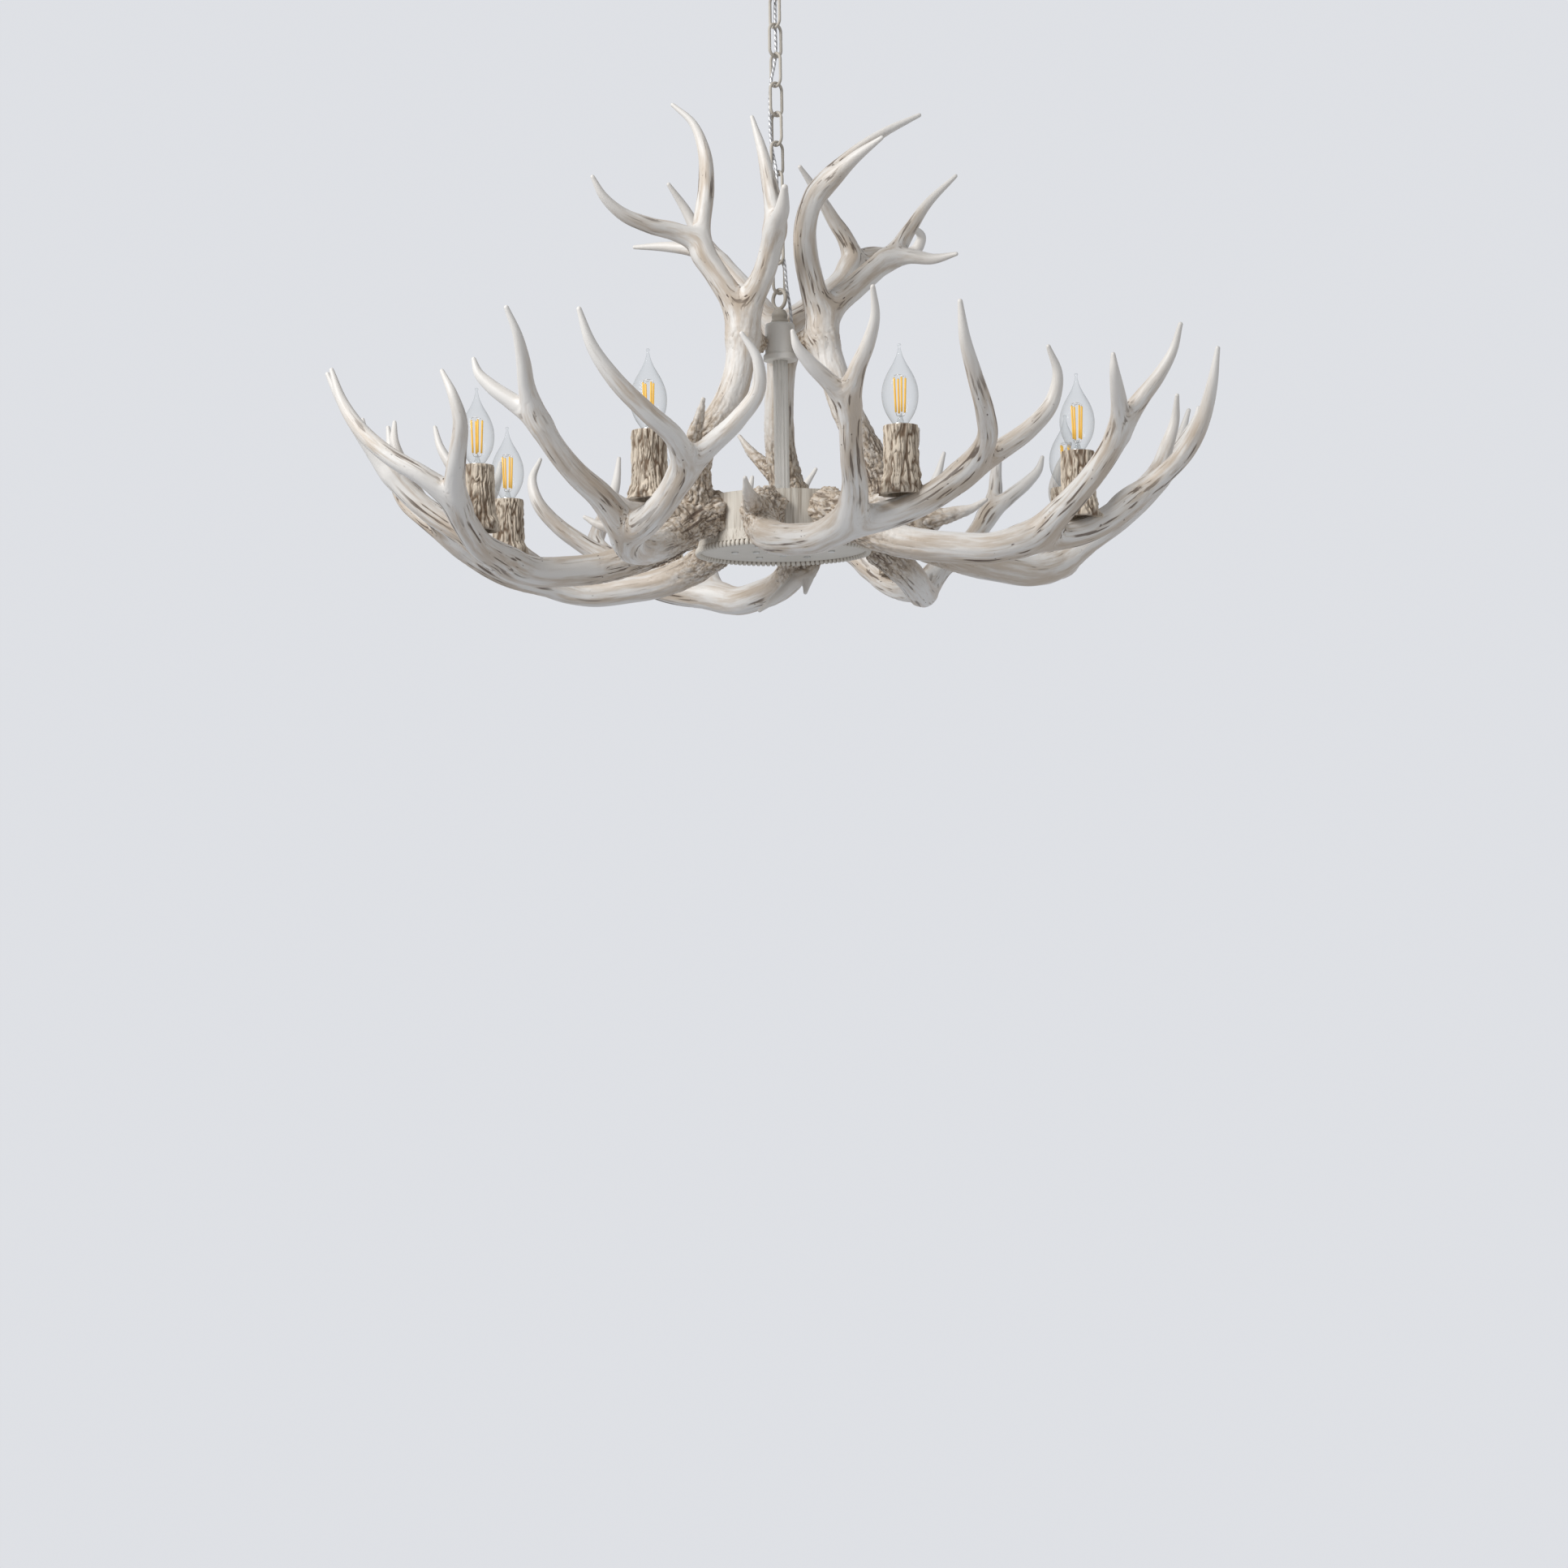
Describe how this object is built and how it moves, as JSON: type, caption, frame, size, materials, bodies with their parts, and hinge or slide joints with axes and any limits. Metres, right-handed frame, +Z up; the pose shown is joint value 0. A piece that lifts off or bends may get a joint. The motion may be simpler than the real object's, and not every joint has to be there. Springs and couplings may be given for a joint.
{
  "type": "antler chandelier",
  "caption": "Hanging chandelier of cast antlers around a hub drum, with bark-textured candle lights and flame-tip bulbs, on a link chain from a ceiling canopy.",
  "frame": {"origin": "centre of the mounting crossbar's upper face, in the ceiling plane", "axes": "+Z up out of the ceiling fixing, -Y toward the pictured side, +X to the viewer's right"},
  "size_m": [0.9239, 0.9161, 0.68],
  "materials": {
    "cream_enamel": "smooth cream enamel, semi matt",
    "zinc_steel": "bright zinc plate",
    "chain_enamel": "rubbed beige-white enamel",
    "clear_cord": "clear sheath over silver strands",
    "antler_resin": "off-white cast resin with dark streaks, rough beige burrs, smooth points",
    "bark_resin": "deep bark texture, beige with brown grooves",
    "drum_resin": "cream with fine vertical grain",
    "holder_plastic": "white moulded",
    "bulb_glass": "clear blown glass",
    "bulb_cap": "bright plated screw cap, amber filament sticks"
  },
  "bodies": {
    "canopy": {"mounting_crossbar": "zinc_steel", "canopy": "cream_enamel", "canopy_fasteners": "zinc_steel", "canopy_loop": "chain_enamel", "power_cord": "clear_cord"},
    "link_01": {"chain_link_01": "chain_enamel"},
    "link_02": {"chain_link_02": "chain_enamel"},
    "link_03": {"chain_link_03": "chain_enamel"},
    "link_04": {"chain_link_04": "chain_enamel"},
    "link_05": {"chain_link_05": "chain_enamel"},
    "link_06": {"chain_link_06": "chain_enamel"},
    "link_07": {"chain_link_07": "chain_enamel"},
    "link_08": {"chain_link_08": "chain_enamel"},
    "link_09": {"chain_link_09": "chain_enamel"},
    "link_10": {"chain_link_10": "chain_enamel"},
    "chandelier": {"crown_loop": "cream_enamel", "collar": "cream_enamel", "post": "cream_enamel", "tie_rod": "zinc_steel", "drum_shell": "drum_resin", "hub_plates": "cream_enamel", "hub_base_plate": "cream_enamel", "bead_ring": "drum_resin", "hub_fasteners": "zinc_steel", "lower_antler_1": "antler_resin", "lower_antler_2": "antler_resin", "lower_antler_3": "antler_resin", "lower_antler_4": "antler_resin", "lower_antler_5": "antler_resin", "lower_antler_6": "antler_resin", "lower_antler_7": "antler_resin", "lower_antler_8": "antler_resin", "upper_antler_left": "antler_resin", "upper_antler_right": "antler_resin", "upper_antler_back": "antler_resin", "candle_sleeve_1": "bark_resin", "candle_sleeve_2": "bark_resin", "candle_sleeve_3": "bark_resin", "candle_sleeve_4": "bark_resin", "candle_sleeve_5": "bark_resin", "candle_sleeve_6": "bark_resin", "candle_sleeve_7": "bark_resin", "candle_sleeve_8": "bark_resin", "lampholders": "holder_plastic"},
    "bulb_1": {"bulb_glass_1": "bulb_glass", "bulb_core_1": "bulb_cap"},
    "bulb_2": {"bulb_glass_2": "bulb_glass", "bulb_core_2": "bulb_cap"},
    "bulb_3": {"bulb_glass_3": "bulb_glass", "bulb_core_3": "bulb_cap"},
    "bulb_4": {"bulb_glass_4": "bulb_glass", "bulb_core_4": "bulb_cap"},
    "bulb_5": {"bulb_glass_5": "bulb_glass", "bulb_core_5": "bulb_cap"},
    "bulb_6": {"bulb_glass_6": "bulb_glass", "bulb_core_6": "bulb_cap"},
    "bulb_7": {"bulb_glass_7": "bulb_glass", "bulb_core_7": "bulb_cap"},
    "bulb_8": {"bulb_glass_8": "bulb_glass", "bulb_core_8": "bulb_cap"}
  },
  "joints": [
    {"name": "link_01_swing", "type": "hinge", "parent": "canopy", "child": "link_01", "pos_m": [0, 0, -0.053], "axis": [0.766, 0.6428, 0], "range_deg": [-20, 20], "deforming": ["power_cord"]},
    {"name": "link_02_swing", "type": "hinge", "parent": "link_01", "child": "link_02", "pos_m": [0, 0, -0.0839], "axis": [-0.6428, 0.766, 0], "range_deg": [-8, 8], "deforming": ["power_cord"]},
    {"name": "link_03_swing", "type": "hinge", "parent": "link_02", "child": "link_03", "pos_m": [0, 0, -0.1152], "axis": [-0.766, -0.6428, 0], "range_deg": [-8, 8], "deforming": ["power_cord"]},
    {"name": "link_04_swing", "type": "hinge", "parent": "link_03", "child": "link_04", "pos_m": [0, 0, -0.1465], "axis": [0.6428, -0.766, 0], "range_deg": [-8, 8], "deforming": ["power_cord"]},
    {"name": "link_05_swing", "type": "hinge", "parent": "link_04", "child": "link_05", "pos_m": [0, 0, -0.1778], "axis": [0.766, 0.6428, 0], "range_deg": [-8, 8], "deforming": ["power_cord"]},
    {"name": "link_06_swing", "type": "hinge", "parent": "link_05", "child": "link_06", "pos_m": [0, 0, -0.2091], "axis": [-0.6428, 0.766, 0], "range_deg": [-8, 8], "deforming": ["power_cord"]},
    {"name": "link_07_swing", "type": "hinge", "parent": "link_06", "child": "link_07", "pos_m": [0, 0, -0.2404], "axis": [-0.766, -0.6428, 0], "range_deg": [-8, 8], "deforming": ["power_cord"]},
    {"name": "link_08_swing", "type": "hinge", "parent": "link_07", "child": "link_08", "pos_m": [0, 0, -0.2717], "axis": [0.6428, -0.766, 0], "range_deg": [-8, 8], "deforming": ["power_cord"]},
    {"name": "link_09_swing", "type": "hinge", "parent": "link_08", "child": "link_09", "pos_m": [0, 0, -0.303], "axis": [0.766, 0.6428, 0], "range_deg": [-8, 8], "deforming": ["power_cord"]},
    {"name": "link_10_swing", "type": "hinge", "parent": "link_09", "child": "link_10", "pos_m": [0, 0, -0.3343], "axis": [-0.6428, 0.766, 0], "range_deg": [-8, 8], "deforming": ["power_cord"]},
    {"name": "crown_swing", "type": "hinge", "parent": "link_10", "child": "chandelier", "pos_m": [0, 0, -0.3656], "axis": [-0.766, -0.6428, 0], "range_deg": [-8, 8], "deforming": ["power_cord"]},
    {"name": "bulb_1_screw", "type": "hinge", "parent": "chandelier", "child": "bulb_1", "pos_m": [-0.1266, -0.29824, -0.5577], "axis": [0, 0, 1], "continuous": true},
    {"name": "bulb_2_screw", "type": "hinge", "parent": "chandelier", "child": "bulb_2", "pos_m": [0.11347, -0.30348, -0.5577], "axis": [0, 0, 1], "continuous": true},
    {"name": "bulb_3_screw", "type": "hinge", "parent": "chandelier", "child": "bulb_3", "pos_m": [0.29599, -0.13178, -0.5577], "axis": [0, 0, 1], "continuous": true},
    {"name": "bulb_4_screw", "type": "hinge", "parent": "chandelier", "child": "bulb_4", "pos_m": [0.30348, 0.11347, -0.5577], "axis": [0, 0, 1], "continuous": true},
    {"name": "bulb_5_screw", "type": "hinge", "parent": "chandelier", "child": "bulb_5", "pos_m": [0.12919, 0.29713, -0.5577], "axis": [0, 0, 1], "continuous": true},
    {"name": "bulb_6_screw", "type": "hinge", "parent": "chandelier", "child": "bulb_6", "pos_m": [-0.12919, 0.29713, -0.5577], "axis": [0, 0, 1], "continuous": true},
    {"name": "bulb_7_screw", "type": "hinge", "parent": "chandelier", "child": "bulb_7", "pos_m": [-0.29483, 0.13436, -0.5577], "axis": [0, 0, 1], "continuous": true},
    {"name": "bulb_8_screw", "type": "hinge", "parent": "chandelier", "child": "bulb_8", "pos_m": [-0.30726, -0.10281, -0.5577], "axis": [0, 0, 1], "continuous": true}
  ]
}
